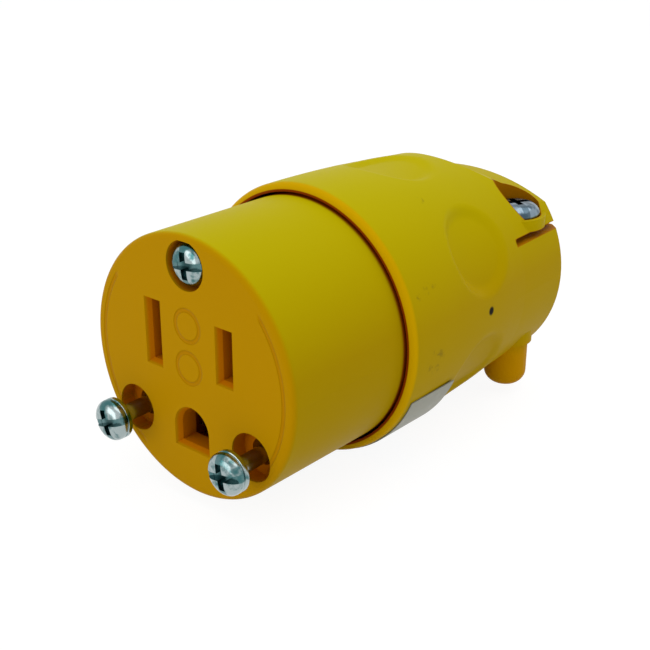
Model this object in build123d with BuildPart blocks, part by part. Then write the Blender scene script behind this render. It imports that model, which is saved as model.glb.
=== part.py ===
from build123d import *
from math import cos, radians, sin
import os

# Three-wire cord connector, in millimetres. The mating face lies at Y = 0 and looks along -Y, the
# cord leaves along +Y, +Z is up, and the origin is the centre of the mating face.

# Fits
slip = 0.1                # between pieces that slide together
shell_gap = 0.4           # all round the face body inside the collar
loose_gap = 0.3           # opened at the shoulders by the two slack screws

# Face body
face_radius = 17.7
face_edge = 0.8
body_length = 27.0
face_wall = 3.2

# Blade slots and earth hole, at the standard spacing of this pattern
blade_x = 6.35
blade_z = 3.4
earth_drop = 11.89
slot_width = 2.0
line_slot = 6.8
neutral_slot = 8.2
earth_radius = 2.65
earth_flat = 2.5          # from the centre of the earth hole down to its flat side
lead_in = 0.5
lead_depth = 0.9

# Contacts
strip = 0.8
strip_width = 6.0
earth_strip_width = 4.4
tip_y = 4.6
pinch_y = 8.4
spread_y = 12.5
web_y = 24.4
blade_pinch = 1.05        # from the blade's middle to the middle of the strip, where it grips
blade_spread = 1.9
pin_pinch = 2.65
pin_spread = 3.0
chamber_clearance = 0.7

# Contact carrier with its terminal blocks
carrier_width = 21.4
carrier_top = 8.6
carrier_waist = -1.6
carrier_stem = 13.0
carrier_bottom = -13.0
carrier_plate = 3.0
block_length = 10.0
block_width = 4.6
block_height = 8.0

# Terminals
terminal_shank = 2.0
terminal_reach = 4.6
terminal_head = 3.4
terminal_head_height = 2.2
terminal_pocket = 4.8     # side of the clearance pocket behind each terminal screw
wire_plate = 7.4
wire_plate_thickness = 1.1
plate_lip = 0.7

# Assembly screws
screw_circle_top = 13.8
screw_side_x = 10.5
screw_side_z = -8.65
screw_shank = 1.6
screw_head = 2.65
screw_head_height = 2.4
screw_length = 40.0
screw_recess = 3.25
screw_recess_depth = 2.2
screw_backed_out = 5.2
pillar_radius = 3.3

# Rear shell
collar_y = 21.2
collar_wall = 1.2
collar_edge = 1.0
waist_y = 32.4
heel_y = 50.0
heel_radius = 17.85
rear_y = 62.0
rear_radius = 17.4
rear_edge = 1.2
cavity_radius = 16.2
cavity_end = 48.0

# Finger dimples
dimple_count = 6
dimple_y = 39.8
dimple_radius = 6.7
dimple_depth = 0.8
dimple_slope = 0.45       # how far the side draws in over the depth

# Cord clamp
cord_radius = 8.0
cord_edge = 0.8
groove_depth = 0.6        # grooves across the floor under the cord leave ridges that hold it
groove_width = 1.6
groove_length = 6.0
groove_spacing = 3.0
groove_count = 3
jaw_axis_drop = 18.0      # the jaw's flat top is part of a large cylinder about this lower axis
jaw_front_y = 44.0
jaw_front_radius = 38.07
jaw_knee_y = 57.2
jaw_knee_radius = 32.4
jaw_rear_radius = 31.5
slit_y = 49.8
slit_z = 7.1
slit_height = 1.0
lug_x = 11.7
lug_y = 55.8
lug_radius = 4.5
pocket_radius = 3.75
pocket_floor = 9.2
pocket_lip = 0.6          # the lug stands this far above the floor, so the head shows from the side
root_radius = 3.8
root_z = -10.5
foot_radius = 3.25
foot_bevel = 1.4
foot_lift = 1.5           # the collar rests lower than the feet by this

# Clamp screws
clamp_shank = 1.7
clamp_head = 3.45
clamp_head_height = 2.3
clamp_length = 22.0

# Label
label_start = 22.8
label_width = 9.6
label_top_angle = -22.5
label_wrap = 50.0
label_thickness = 0.15
label_stand_off = 0.05

# Places worked out from the sizes above
earth_z = blade_z - earth_drop
screw_spots = [(0, screw_circle_top), (-screw_side_x, screw_side_z), (screw_side_x, screw_side_z)]
channel_radius = screw_shank + 2 * slip
carrier_back = body_length + carrier_plate
shoulder_y = body_length + loose_gap
terminal_y = carrier_back + block_length / 2 - 1.2
tail_end = carrier_back + block_length - 0.8
blade_tail_x = blade_x + blade_spread
earth_tail_z = earth_z - earth_strip_width / 2
blade_face_x = blade_tail_x + strip / 2
earth_face_z = earth_tail_z - strip / 2
collar_bore = face_radius + shell_gap
collar_radius = collar_bore + collar_wall
foot_tip = foot_lift - collar_radius
grip_slope = (heel_radius - collar_radius) / (heel_y - waist_y)
seat_y = screw_recess_depth
cord_middle = (slit_y + rear_y) / 2
clamp_spots = [(-lug_x, lug_y), (lug_x, lug_y)]
jaw_axis = Axis((0, 0, -jaw_axis_drop), (0, 1, 0))
dimple_top = collar_radius + grip_slope * (dimple_y - waist_y)


def across(y):
    """Plane across the connector at distance y behind the face: local x is X, local y is Z."""
    return Plane.XZ.offset(-y)


def radial(angle):
    """Plane through the axis, turned up from +X by the angle: local x is the radius, local y is Y."""
    a = radians(angle)
    return Plane(origin=(0, 0, 0), x_dir=(cos(a), 0, sin(a)), z_dir=(-sin(a), 0, cos(a)))


def terminal_seat(angle):
    """Outer face of a contact's tail at its terminal screw; local x runs along the connector."""
    reach = {0: blade_face_x, 180: blade_face_x, 270: -earth_face_z}[angle]
    height = {0: blade_z, 180: blade_z, 270: 0}[angle]
    a = radians(angle)
    return Plane(
        origin=(reach * cos(a), terminal_y, height + reach * sin(a)),
        x_dir=(0, 1, 0),
        z_dir=(cos(a), 0, sin(a)),
    )


def finish(part, name):
    """Label a piece and write it to its own file."""
    part.part.label = name
    export_step(part.part, f"parts/{name}.step")


def make_screw(place, head, head_height, shank, length, cross):
    """Screw that seats on the plane, with a cross or a slot in its head."""
    with BuildPart() as screw:
        with BuildSketch(place):
            Circle(head)
        extrude(amount=head_height)
        with BuildSketch(place):
            Circle(shank)
        extrude(amount=-length)
        with BuildSketch(place.offset(head_height / 2)):
            if cross:
                Rectangle(1.3 * head, head / 3)
                Rectangle(head / 3, 1.3 * head)
            else:
                Rectangle(3 * head, head / 4)
        extrude(amount=head_height, mode=Mode.SUBTRACT)
    return screw


def make_wire_clamp(place):
    """Square pressure plate with two turned-in lips, pierced for its terminal screw."""
    with BuildPart() as plate:
        with BuildSketch(place):
            Rectangle(wire_plate, wire_plate)
        extrude(amount=wire_plate_thickness)
        with BuildSketch(place.offset(wire_plate_thickness)):
            with Locations((0, (wire_plate - plate_lip) / 2), (0, (plate_lip - wire_plate) / 2)):
                Rectangle(wire_plate, plate_lip)
        extrude(amount=plate_lip)
        with BuildSketch(place):
            Circle(terminal_shank + 2 * slip)
        extrude(amount=wire_plate_thickness, mode=Mode.SUBTRACT)
    return plate


def make_blade_contact(side):
    """Folded strip with two sprung leaves for a flat blade and a tail to its terminal."""
    middle = side * blade_x

    def out(distance):
        return middle + side * distance

    with BuildPart() as contact:
        with BuildSketch(Plane.XY.offset(blade_z - strip_width / 2)):
            with BuildLine():
                Polyline(
                    (out(-blade_spread), tip_y),
                    (out(-blade_pinch), pinch_y),
                    (out(-blade_spread), spread_y),
                    (out(-blade_spread), web_y),
                    (out(blade_spread), web_y),
                    (out(blade_spread), spread_y),
                    (out(blade_pinch), pinch_y),
                    (out(blade_spread), tip_y),
                )
                Line((out(blade_spread), web_y), (out(blade_spread), tail_end))
            trace(line_width=strip)
        extrude(amount=strip_width)
        with BuildSketch(Plane.YZ.offset(middle)):
            with Locations((terminal_y, blade_z)):
                Circle(terminal_shank + slip)
        extrude(amount=side * 2 * blade_spread, mode=Mode.SUBTRACT)
    return contact


os.makedirs("parts", exist_ok=True)

# The face body: one moulding with the chambers of the contacts and three screw channels
chamber_half = blade_spread + strip / 2 + chamber_clearance
chamber_height = strip_width + 2 * chamber_clearance
earth_half = pin_spread + strip / 2 + chamber_clearance
with BuildPart() as front_body:
    with BuildSketch(across(0)):
        Circle(face_radius)
    extrude(amount=-body_length)
    chamfer(front_body.edges().sort_by(Axis.Y)[0], face_edge)
    # Contact chambers, open to the back
    with BuildSketch(across(face_wall)):
        with Locations((-blade_x, blade_z), (blade_x, blade_z)):
            Rectangle(2 * chamber_half, chamber_height)
        with Locations((0, earth_z)):
            Rectangle(2 * earth_half, 2 * earth_half)
    extrude(amount=face_wall - body_length, mode=Mode.SUBTRACT)
    # Screw channels and the recesses of the heads
    with BuildSketch(across(0)):
        with Locations(*screw_spots):
            Circle(channel_radius)
    extrude(amount=-body_length, mode=Mode.SUBTRACT)
    with BuildSketch(across(0)):
        with Locations(*screw_spots):
            Circle(screw_recess)
    extrude(amount=-screw_recess_depth, mode=Mode.SUBTRACT)
    # Blade slots with their lead-in slopes
    for middle, height in ((-blade_x, neutral_slot), (blade_x, line_slot)):
        with BuildSketch(across(0)):
            with Locations((middle, blade_z)):
                Rectangle(slot_width, height)
        extrude(amount=-face_wall, mode=Mode.SUBTRACT)
        with BuildSketch(across(0)):
            with Locations((middle, blade_z)):
                Rectangle(slot_width + 2 * lead_in, height + 2 * lead_in)
        with BuildSketch(across(lead_depth)):
            with Locations((middle, blade_z)):
                Rectangle(slot_width, height)
        loft(mode=Mode.SUBTRACT)
    # Earth hole, round at the top and flat at the bottom
    for start, end, grow in ((0, face_wall, 0), (0, lead_depth, lead_in)):
        for y, more in ((start, grow), (end, 0)):
            with BuildSketch(across(y)):
                with BuildLine():
                    reach = earth_radius + more
                    foot = earth_z - earth_flat - more
                    CenterArc((0, earth_z), reach, 0, 180)
                    Polyline((-reach, earth_z), (-reach, foot), (reach, foot), (reach, earth_z))
                make_face()
        loft(mode=Mode.SUBTRACT)
finish(front_body, "front_body")

# The contact carrier: a plate between the screws that closes the chambers, with three blocks that
# back the terminals
with BuildPart() as contact_carrier:
    with BuildSketch(across(body_length)):
        with Locations((0, (carrier_top + carrier_waist) / 2)):
            Rectangle(carrier_width, carrier_top - carrier_waist)
        with Locations((0, (carrier_top + carrier_bottom) / 2)):
            Rectangle(carrier_stem, carrier_top - carrier_bottom)
    extrude(amount=-carrier_plate)
    with BuildSketch(across(carrier_back)):
        for side in (-1, 1):
            with Locations((side * (blade_tail_x - strip / 2 - slip - block_width / 2), blade_z)):
                Rectangle(block_width, block_height)
        with Locations((0, earth_tail_z + strip / 2 + slip + block_width / 2)):
            Rectangle(block_height, block_width)
    extrude(amount=-block_length)
    # Slots that the tails pass through
    with BuildSketch(across(body_length)):
        with Locations((-blade_tail_x, blade_z), (blade_tail_x, blade_z)):
            Rectangle(strip + 2 * slip, strip_width + 2 * slip)
        with Locations((0, earth_tail_z)):
            Rectangle(strip_width + 2 * slip, strip + 2 * slip)
    extrude(amount=-carrier_plate, mode=Mode.SUBTRACT)
    # Square pockets for the ends of the terminal screws
    for place in (terminal_seat(0), terminal_seat(180), terminal_seat(270)):
        with BuildSketch(place):
            Rectangle(terminal_pocket, terminal_pocket)
        extrude(amount=-terminal_reach - slip, mode=Mode.SUBTRACT)
finish(contact_carrier, "contact_carrier")

for name, side in (("line_contact", 1), ("neutral_contact", -1)):
    finish(make_blade_contact(side), name)

# The earth contact: two leaves for the round pin, with its tail bent out of the web below
with BuildPart() as ground_contact:
    with BuildSketch(Plane.XY.offset(earth_z - earth_strip_width / 2)):
        with BuildLine():
            Polyline(
                (-pin_spread, tip_y),
                (-pin_pinch, pinch_y),
                (-pin_spread, spread_y),
                (-pin_spread, web_y),
                (pin_spread, web_y),
                (pin_spread, spread_y),
                (pin_pinch, pinch_y),
                (pin_spread, tip_y),
            )
        trace(line_width=strip)
    extrude(amount=earth_strip_width)
    with BuildSketch(Plane.XY.offset(earth_face_z)):
        with Locations((0, (web_y - strip / 2 + tail_end) / 2)):
            Rectangle(strip_width, tail_end - web_y + strip / 2)
    extrude(amount=strip)
    with BuildSketch(Plane.XY.offset(earth_face_z)):
        with Locations((0, terminal_y)):
            Circle(terminal_shank + slip)
    extrude(amount=strip, mode=Mode.SUBTRACT)
finish(ground_contact, "ground_contact")

for name, angle in (("line", 0), ("neutral", 180), ("ground", 270)):
    seat = terminal_seat(angle)
    finish(make_wire_clamp(seat.offset(slip)), f"{name}_wire_clamp")
    head_seat = seat.offset(2 * slip + wire_plate_thickness + plate_lip)
    screw_reach = terminal_reach + wire_plate_thickness + plate_lip
    screw = make_screw(
        head_seat, terminal_head, terminal_head_height, terminal_shank, screw_reach, cross=False
    )
    finish(screw, f"{name}_terminal_screw")

# The assembly screws: the top one is home in its recess, the two lower ones stand out
for name, spot, out in zip(("top", "left", "right"), screw_spots, (0, screw_backed_out, screw_backed_out)):
    seat = Plane.XZ.offset(out - seat_y)
    seat.origin = (spot[0], seat_y - out, spot[1])
    screw = make_screw(seat, screw_head, screw_head_height, screw_shank, screw_length, cross=True)
    finish(screw, f"assembly_screw_{name}")

# The form that a finger dimple takes out of the top of the grip
with BuildPart() as dimple:
    with Locations((0, dimple_y, dimple_top - dimple_depth / 2)):
        Cone(dimple_radius - 3 * dimple_slope, dimple_radius + 2 * dimple_slope, 5 * dimple_depth)
    with BuildSketch(across(0)):
        Circle(dimple_top - dimple_depth)
    extrude(amount=-rear_y, mode=Mode.SUBTRACT)

# The rear shell: collar, grip and cord clamp in one moulding
with BuildPart() as rear_shell:
    with BuildSketch(Plane.XY):
        with BuildLine():
            Polyline(
                (0, collar_y),
                (collar_radius, collar_y),
                (collar_radius, waist_y),
                (heel_radius, heel_y),
                (rear_radius, rear_y),
                (0, rear_y),
                close=True,
            )
        make_face()
    revolve(axis=Axis.Y)
    front_rim = rear_shell.edges().filter_by(GeomType.CIRCLE).sort_by(Axis.Y)[0]
    chamfer(front_rim, collar_edge)
    # Lugs round the clamp screws
    with BuildSketch(Plane.XY.offset(slit_z)):
        with Locations(*clamp_spots):
            Circle(lug_radius)
    extrude(amount=pocket_floor + pocket_lip - slit_z)
    # The top of the jaw falls away behind the grip and runs flat across the cord
    with BuildSketch(Plane.XY.offset(-jaw_axis_drop)):
        with BuildLine():
            Polyline(
                (jaw_front_radius, jaw_front_y),
                (jaw_knee_radius, jaw_knee_y),
                (jaw_rear_radius, rear_y + rear_edge),
                (jaw_front_radius + rear_radius, rear_y + rear_edge),
                (jaw_front_radius + rear_radius, jaw_front_y),
                close=True,
            )
        make_face()
    revolve(axis=jaw_axis, mode=Mode.SUBTRACT)
    # Broken edge at the end
    chamfer(rear_shell.faces().sort_by(Axis.Y)[-1].edges(), rear_edge)
    # Columns under the clamp screws, which end in the two round feet
    for radius, tip in ((root_radius, root_z), (foot_radius, foot_tip)):
        with BuildSketch(Plane.XY):
            with Locations(*clamp_spots):
                Circle(radius)
        extrude(amount=tip)
    chamfer(rear_shell.edges().filter_by(GeomType.CIRCLE).group_by(Axis.Z)[0], foot_bevel)
    # Finger dimples: round, with a floor that follows the grip
    for turn in range(dimple_count):
        add(dimple.part.rotate(Axis.Y, turn * 360 / dimple_count), mode=Mode.SUBTRACT)
    # Bore for the face body, hollow for the wires, and the way out for the cord
    with BuildSketch(Plane.XY):
        with BuildLine():
            Polyline(
                (0, collar_y),
                (collar_bore, collar_y),
                (collar_bore, shoulder_y),
                (cavity_radius, shoulder_y),
                (cavity_radius, cavity_end),
                (cord_radius, cavity_end),
                (cord_radius, rear_y),
                (0, rear_y),
                close=True,
            )
        make_face()
    revolve(axis=Axis.Y, mode=Mode.SUBTRACT)
    cord_rim = rear_shell.faces().sort_by(Axis.Y)[-1].inner_wires()[0].edges()
    chamfer(cord_rim, cord_edge)
    # Pillars that take the assembly screws
    with BuildSketch(across(shoulder_y)):
        with Locations(*screw_spots):
            Circle(pillar_radius)
    extrude(amount=shoulder_y - cavity_end)
    with BuildSketch(across(shoulder_y)):
        with Locations(*screw_spots):
            Circle(screw_shank + slip)
    extrude(amount=shoulder_y - seat_y - screw_length - slip, mode=Mode.SUBTRACT)
    # Slit that frees the jaw on both sides, with a round end
    with BuildSketch(Plane.YZ.offset(-collar_radius)):
        with Locations(((slit_y + rear_y + rear_edge) / 2, slit_z + slit_height / 2)):
            Rectangle(rear_y + rear_edge - slit_y, slit_height)
        with Locations((slit_y, slit_z + slit_height / 2)):
            Circle(slit_height / 2)
    extrude(amount=2 * collar_radius, mode=Mode.SUBTRACT)
    with BuildSketch(Plane.XY):
        with Locations((0, cord_middle)):
            with GridLocations(0, groove_spacing, 1, groove_count):
                Rectangle(groove_length, groove_width)
    extrude(amount=-cord_radius - groove_depth, mode=Mode.SUBTRACT)
    # Clamp screw holes and the pockets of their heads
    with BuildSketch(Plane.XY.offset(pocket_floor)):
        with Locations(*clamp_spots):
            Circle(pocket_radius)
    extrude(amount=rear_radius, mode=Mode.SUBTRACT)
    with BuildSketch(Plane.XY.offset(pocket_floor)):
        with Locations(*clamp_spots):
            Circle(clamp_shank + slip)
    extrude(amount=-clamp_length - slip, mode=Mode.SUBTRACT)
finish(rear_shell, "rear_shell")

# The clamp screws go down through the jaw into the columns
for name, spot in zip(("left", "right"), clamp_spots):
    seat = Plane(origin=(spot[0], spot[1], pocket_floor), x_dir=(1, 0, 0), z_dir=(0, 0, 1))
    screw = make_screw(seat, clamp_head, clamp_head_height, clamp_shank, clamp_length, cross=True)
    finish(screw, f"clamp_screw_{name}")

# The blank sticker lies on the collar, round the underside of the near side
with BuildPart() as blank_label:
    with BuildSketch(radial(label_top_angle)):
        with Locations((collar_radius + label_stand_off + label_thickness / 2, label_start + label_width / 2)):
            Rectangle(label_thickness, label_width)
    revolve(axis=Axis.Y, revolution_arc=label_wrap)
finish(blank_label, "blank_label")
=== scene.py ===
"""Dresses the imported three-wire cord connector.

The face body, the contacts and the label keep their CAD shape and get procedural finishes, and the
face body gets a round edge over its bevel.
The grip of the rear shell is made again with soft finger dimples, the tips of its feet are made
again round, and its other faces are kept.
The screws are made again with rolled threads and driven recesses.
Meshes are in metres, in the row's frame: mating face at Y = 0, cord leaving along +Y, +Z up.
"""

import math
from collections import namedtuple

import bmesh
import bpy
from mathutils import Matrix, Vector


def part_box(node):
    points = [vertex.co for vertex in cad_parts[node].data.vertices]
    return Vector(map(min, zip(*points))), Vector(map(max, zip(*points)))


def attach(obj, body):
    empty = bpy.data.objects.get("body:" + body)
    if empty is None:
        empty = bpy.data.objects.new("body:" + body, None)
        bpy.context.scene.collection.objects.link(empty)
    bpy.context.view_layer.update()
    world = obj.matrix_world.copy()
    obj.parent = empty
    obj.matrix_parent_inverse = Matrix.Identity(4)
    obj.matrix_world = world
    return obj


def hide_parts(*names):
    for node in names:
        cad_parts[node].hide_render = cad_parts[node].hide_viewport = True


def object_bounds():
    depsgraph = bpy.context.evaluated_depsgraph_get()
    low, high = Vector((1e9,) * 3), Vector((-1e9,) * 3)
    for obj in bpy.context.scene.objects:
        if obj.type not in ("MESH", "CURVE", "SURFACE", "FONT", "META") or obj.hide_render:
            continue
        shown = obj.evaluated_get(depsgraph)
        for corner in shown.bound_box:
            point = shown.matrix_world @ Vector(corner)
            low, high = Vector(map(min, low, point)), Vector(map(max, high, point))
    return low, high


bl_info = {
    "name": "Cord Connector",
    "version": (1, 0, 0),
    "blender": (4, 5, 0),
    "location": "3D View > Sidebar > Connector",
    "description": "Finishes the mouldings, screws and contacts of a three-wire cord connector",
    "category": "Object",
}

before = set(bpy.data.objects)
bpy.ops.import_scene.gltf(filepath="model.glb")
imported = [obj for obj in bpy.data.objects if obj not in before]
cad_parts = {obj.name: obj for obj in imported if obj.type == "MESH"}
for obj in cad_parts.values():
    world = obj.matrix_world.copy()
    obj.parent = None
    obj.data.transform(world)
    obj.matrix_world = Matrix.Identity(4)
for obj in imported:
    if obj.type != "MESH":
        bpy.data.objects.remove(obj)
cad_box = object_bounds()

MM = 0.001

# Which CAD nodes belong together
FACE_BODY = "front_body"
SHELL = "rear_shell"
CARRIER = "contact_carrier"
LABEL = "blank_label"
CONTACTS = ("line_contact", "neutral_contact", "ground_contact")
WIRE_CLAMPS = ("line_wire_clamp", "neutral_wire_clamp", "ground_wire_clamp")

# How a metal looks: main colour, colour of the patches, roughness, patches per metre
Metal = namedtuple("Metal", "colour tint roughness patches")
# On the zinc screws the darker patches are partly the zinc's own uneven tone and partly painted reflection
# of dark surroundings
TEAL_ZINC_AND_REFLECTIONS = Metal((0.36, 0.43, 0.43), (0.05, 0.15, 0.155), 0.16, 520.0)
BLUE_ZINC_AND_REFLECTIONS = Metal((0.22, 0.29, 0.35), (0.06, 0.10, 0.13), 0.2, 520.0)
SCREW_BRASS = Metal((0.78, 0.56, 0.22), (0.55, 0.34, 0.12), 0.3, 520.0)
GREEN_DYE = Metal((0.06, 0.3, 0.1), (0.03, 0.16, 0.06), 0.36, 520.0)
CONTACT_BRASS = Metal((0.72, 0.5, 0.2), (0.5, 0.3, 0.12), 0.34, 500.0)
CLAMP_STEEL = Metal((0.6, 0.6, 0.6), (0.42, 0.42, 0.43), 0.38, 600.0)

# Colours of the small parts that aren't metal
CARRIER_COLOUR = (0.05, 0.042, 0.036)
STICKER_COLOUR = (0.245, 0.25, 0.19)
GRIME_COLOUR = (0.42, 0.4, 0.34)

# Screws: CAD node, direction its head faces, roll about its own axis in degrees, metal, slot, sizes
Screw = namedtuple("Screw", "node facing roll metal slot sizes")
SCREWS = (
    Screw("assembly_screw_top", (0, -1, 0), 6, TEAL_ZINC_AND_REFLECTIONS, "zinc_screw", "connector_assembly_screws"),
    Screw("assembly_screw_left", (0, -1, 0), 17, TEAL_ZINC_AND_REFLECTIONS, "zinc_screw", "connector_assembly_screws"),
    Screw("assembly_screw_right", (0, -1, 0), 9, TEAL_ZINC_AND_REFLECTIONS, "zinc_screw", "connector_assembly_screws"),
    Screw("clamp_screw_left", (0, 0, 1), 100, BLUE_ZINC_AND_REFLECTIONS, "zinc_screw", "connector_clamp_screws"),
    Screw("clamp_screw_right", (0, 0, 1), 62, BLUE_ZINC_AND_REFLECTIONS, "zinc_screw", "connector_clamp_screws"),
    Screw("line_terminal_screw", (1, 0, 0), 20, SCREW_BRASS, "brass_screw", "connector_terminal_screws"),
    Screw("neutral_terminal_screw", (-1, 0, 0), 75, BLUE_ZINC_AND_REFLECTIONS, "zinc_screw", "connector_terminal_screws"),
    Screw("ground_terminal_screw", (0, 0, -1), 50, GREEN_DYE, "green_screw", "connector_terminal_screws"),
)

# The two that are backed out sag in their holes: lean of the head in degrees towards +X and +Z,
# and how far behind the face they turn
SAG = {"assembly_screw_left": (-0.6, -1.1), "assembly_screw_right": (0.0, -1.3)}
SAG_PLACE = 16.0

# Radius of a screw's core and height of its thread, as shares of the thread's outside radius
CORE_SHARE = 0.82
RIDGE_SHARE = 0.16

# Columns under the clamp screws: places across and behind the face, radius, rounding, lowest point
FEET = ((-11.7, 55.8), (11.7, 55.8))
FOOT_RADIUS = 3.25
FOOT_ROUND = 2.2
FOOT_TIP = -17.8

# Grip of the rear shell, as in the CAD solid, in millimetres
BORE_EDGE = 18.3
COLLAR_RADIUS = 19.3
COLLAR_START = 21.2
COLLAR_ROUND = 1.0
BOW_START = 22.5
GRIP_END = 47.0
GRIP_END_RADIUS = 18.097
DIMPLES = 6
DIMPLE_PLACE = 39.8
DIMPLE_FLOOR = 17.89

# Outer faces of the CAD shell: they lie beyond this radius and face outwards at least so much,
# apart from the walls of the dimples, which lie this near to the dimples' middles
OUTER_RADIUS = 17.2
OUTER_FACING = 0.3
DIMPLE_HALF = 6.9

# Rim of the face body, in millimetres
FACE_RADIUS = 17.7
FACE_ROUND = 0.8

# Fine relief of the mating face: arcs as middle and half sweep in degrees, rings as heights
LINE_RADIUS = 16.1
LINE_ARCS = ((-2.5, 42.5), (189.0, 46.0))
RING_RADIUS = 2.1
RING_HEIGHTS = (5.9, 0.2)
LINE_HALF = (0.38, 0.12)
LINE_DEPTH = 0.16

# Where the painted light and shade on the mouldings change, in millimetres: where a change begins and where
# it is complete
TOP_LIGHT_HEIGHT = (3.0, 19.0)
COLLAR_RIM_LIGHT = (22.3, 21.7)
GAP_SHADOW_BORE = (18.5, 18.35)
GAP_SHADOW_DEPTH = (30.0, 28.0)
SLIT_LEVEL = 7.6
SLIT_HALF = (0.62, 0.52)
SLIT_START = (49.2, 49.4)
POCKET_WALL = (3.95, 3.8)
POCKET_FLOOR = (9.0, 9.15)
FOOT_SHADE_SIDE = (5.5, 3.6)
FOOT_SHADE_HEIGHT = (-8.5, -13.0)
FACE_LIGHT_DEPTH = (0.9, 0.1)
WITHIN_RIM = (17.3, 17.0)
EDGE_SHADE_DEPTH = (0.05, 0.5)
SLOT_SHADOW_DEPTH = (1.0, 7.0)
HOLE_SHADE_WALL = (3.6, 3.4)
BODY_BACK_SHADOW = (20.6, 21.3)

# The two lower holes that the backed-out screws hang in, across and up
LOOSE_HOLES = ((-10.5, -8.65), (10.5, -8.65))

# Marks on the rear shell: distance behind the face, angle up from +X, radius, all as the photo shows
MARKED_RADIUS = 18.9
DARK_DOT = (39.8, 2.3, 0.84)
SCUFFS = (
    (34.2, 58.8, 0.8),
    (25.7, 24.0, 1.1),
    (27.2, 23.6, 0.8),
    (23.7, 22.2, 0.9),
    (26.2, -6.6, 2.4),
)

# Which coordinates count in a distance seen along the cord, and in one seen from above
ALONG_CORD = (1, 0, 1)
FROM_ABOVE = (1, 1, 0)

# Floor and lamps, in metres
FLOOR_HALF = 6.0
LAMP_AIM = (0.0, 0.028, 0.0)
KEY_PLACE = (0.08, 0.10, 0.42)
KEY_SIDE = 0.5
FRONT_PLACE = (-0.10, -0.45, 0.10)
FRONT_SIDE = 0.4
WHITE = (1.0, 1.0, 1.0, 1.0)
PAPER_WHITE = (0.9, 0.9, 0.9, 1.0)

# The camera as it was fitted to the photo: places in metres, roll in degrees, lens in pixels
CAMERA_PLACE = (0.0995608, -0.0893231, 0.0622304)
CAMERA_AIM = (0.000893, 0.025, -0.001604)
CAMERA_ROLL = 0.130
FOCAL_PIXELS = 1170.607
PHOTO_PIXELS = 650


def add_node(tree, kind, inputs=None, **settings):
    """Add a node; each input is a plain value or the socket that feeds it."""
    node = tree.nodes.new(kind)
    for name, value in settings.items():
        setattr(node, name, value)
    for name, value in (inputs or {}).items():
        socket = node.inputs[name]
        if isinstance(value, bpy.types.NodeSocket):
            tree.links.new(value, socket)
        else:
            socket.default_value = value
    return node


def opaque(colour):
    """A colour as the four numbers that a shader socket takes."""
    return (colour[0], colour[1], colour[2], 1.0)


def new_material(name):
    """Empty node material with its output."""
    material = bpy.data.materials.new(name)
    material.use_nodes = True
    material.node_tree.nodes.clear()
    output = add_node(material.node_tree, "ShaderNodeOutputMaterial")
    return material, material.node_tree, output


def object_place(tree):
    """The surface point in the part's own frame."""
    return add_node(tree, "ShaderNodeTexCoord").outputs["Object"]


def finish_surface(tree, output, inputs):
    """Send a principled shader with these inputs to the output."""
    shader = add_node(tree, "ShaderNodeBsdfPrincipled", inputs)
    tree.links.new(shader.outputs[0], output.inputs["Surface"])


def math_node(tree, operation, first, second=0.0, clamp=False):
    """One arithmetic step on numbers or sockets."""
    return add_node(
        tree, "ShaderNodeMath", {0: first, 1: second}, operation=operation, use_clamp=clamp
    ).outputs[0]


def times(tree, first, second):
    """Product of two masks, or of a value and a factor."""
    return math_node(tree, "MULTIPLY", first, second)


def vector_node(tree, operation, first, second, result="Vector"):
    """One step on two points or directions."""
    return add_node(tree, "ShaderNodeVectorMath", {0: first, 1: second}, operation=operation).outputs[result]


def coordinates(tree, place):
    """The coordinates of a point, by the names X, Y and Z."""
    return add_node(tree, "ShaderNodeSeparateXYZ", {0: place}).outputs


def flat_distance(tree, place, counted, centre=(0, 0, 0)):
    """Distance from a centre in millimetres, by the coordinates that are counted alone."""
    flat = vector_node(tree, "MULTIPLY", place, counted)
    return vector_node(tree, "DISTANCE", flat, tuple(value * MM for value in centre), "Value")


def along(tree, place, origin, direction):
    """Distance of the surface point from an origin in metres, measured along a direction."""
    off = vector_node(tree, "SUBTRACT", place, tuple(origin))
    return vector_node(tree, "DOT_PRODUCT", off, tuple(direction), "Value")


def away_from(tree, value, middle):
    """How far a distance lies from another one in millimetres, to either side."""
    return math_node(tree, "ABSOLUTE", math_node(tree, "SUBTRACT", value, middle * MM))


def spread(tree, value, low, high, start=0.0, end=1.0):
    """Even change from low to high while the value goes from start to end."""
    return add_node(
        tree,
        "ShaderNodeMapRange",
        {"Value": value, "From Min": start, "From Max": end, "To Min": low, "To Max": high},
    ).outputs["Result"]


def soft_step(tree, value, low, high):
    """Smooth rise from 0 at low to 1 at high; high may be the smaller one."""
    start, end, bottom, top = (low, high, 0.0, 1.0) if low < high else (high, low, 1.0, 0.0)
    return add_node(
        tree,
        "ShaderNodeMapRange",
        {"Value": value, "From Min": start, "From Max": end, "To Min": bottom, "To Max": top},
        interpolation_type="SMOOTHSTEP",
    ).outputs["Result"]


def change(tree, value, begin, complete):
    """Smooth rise from 0 to 1 between two distances in millimetres."""
    return soft_step(tree, value, begin * MM, complete * MM)


def noise(tree, place, scale, detail=2.0, roughness=0.5):
    """Grey noise on the object's own coordinates; scale is in waves per metre."""
    return add_node(
        tree,
        "ShaderNodeTexNoise",
        {"Vector": place, "Scale": scale, "Detail": detail, "Roughness": roughness},
    ).outputs["Fac"]


def mix_colours(tree, factor, first, second):
    """Blend two colours by a factor."""
    node = add_node(tree, "ShaderNodeMix", {0: factor, 6: first, 7: second}, data_type="RGBA")
    return node.outputs[2]


def paint_over(tree, shade, layers):
    """Lay colours over a shade one after the other, each where its mask is 1."""
    for mask, colour in layers:
        shade = mix_colours(tree, mask, shade, opaque(colour))
    return shade


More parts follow.
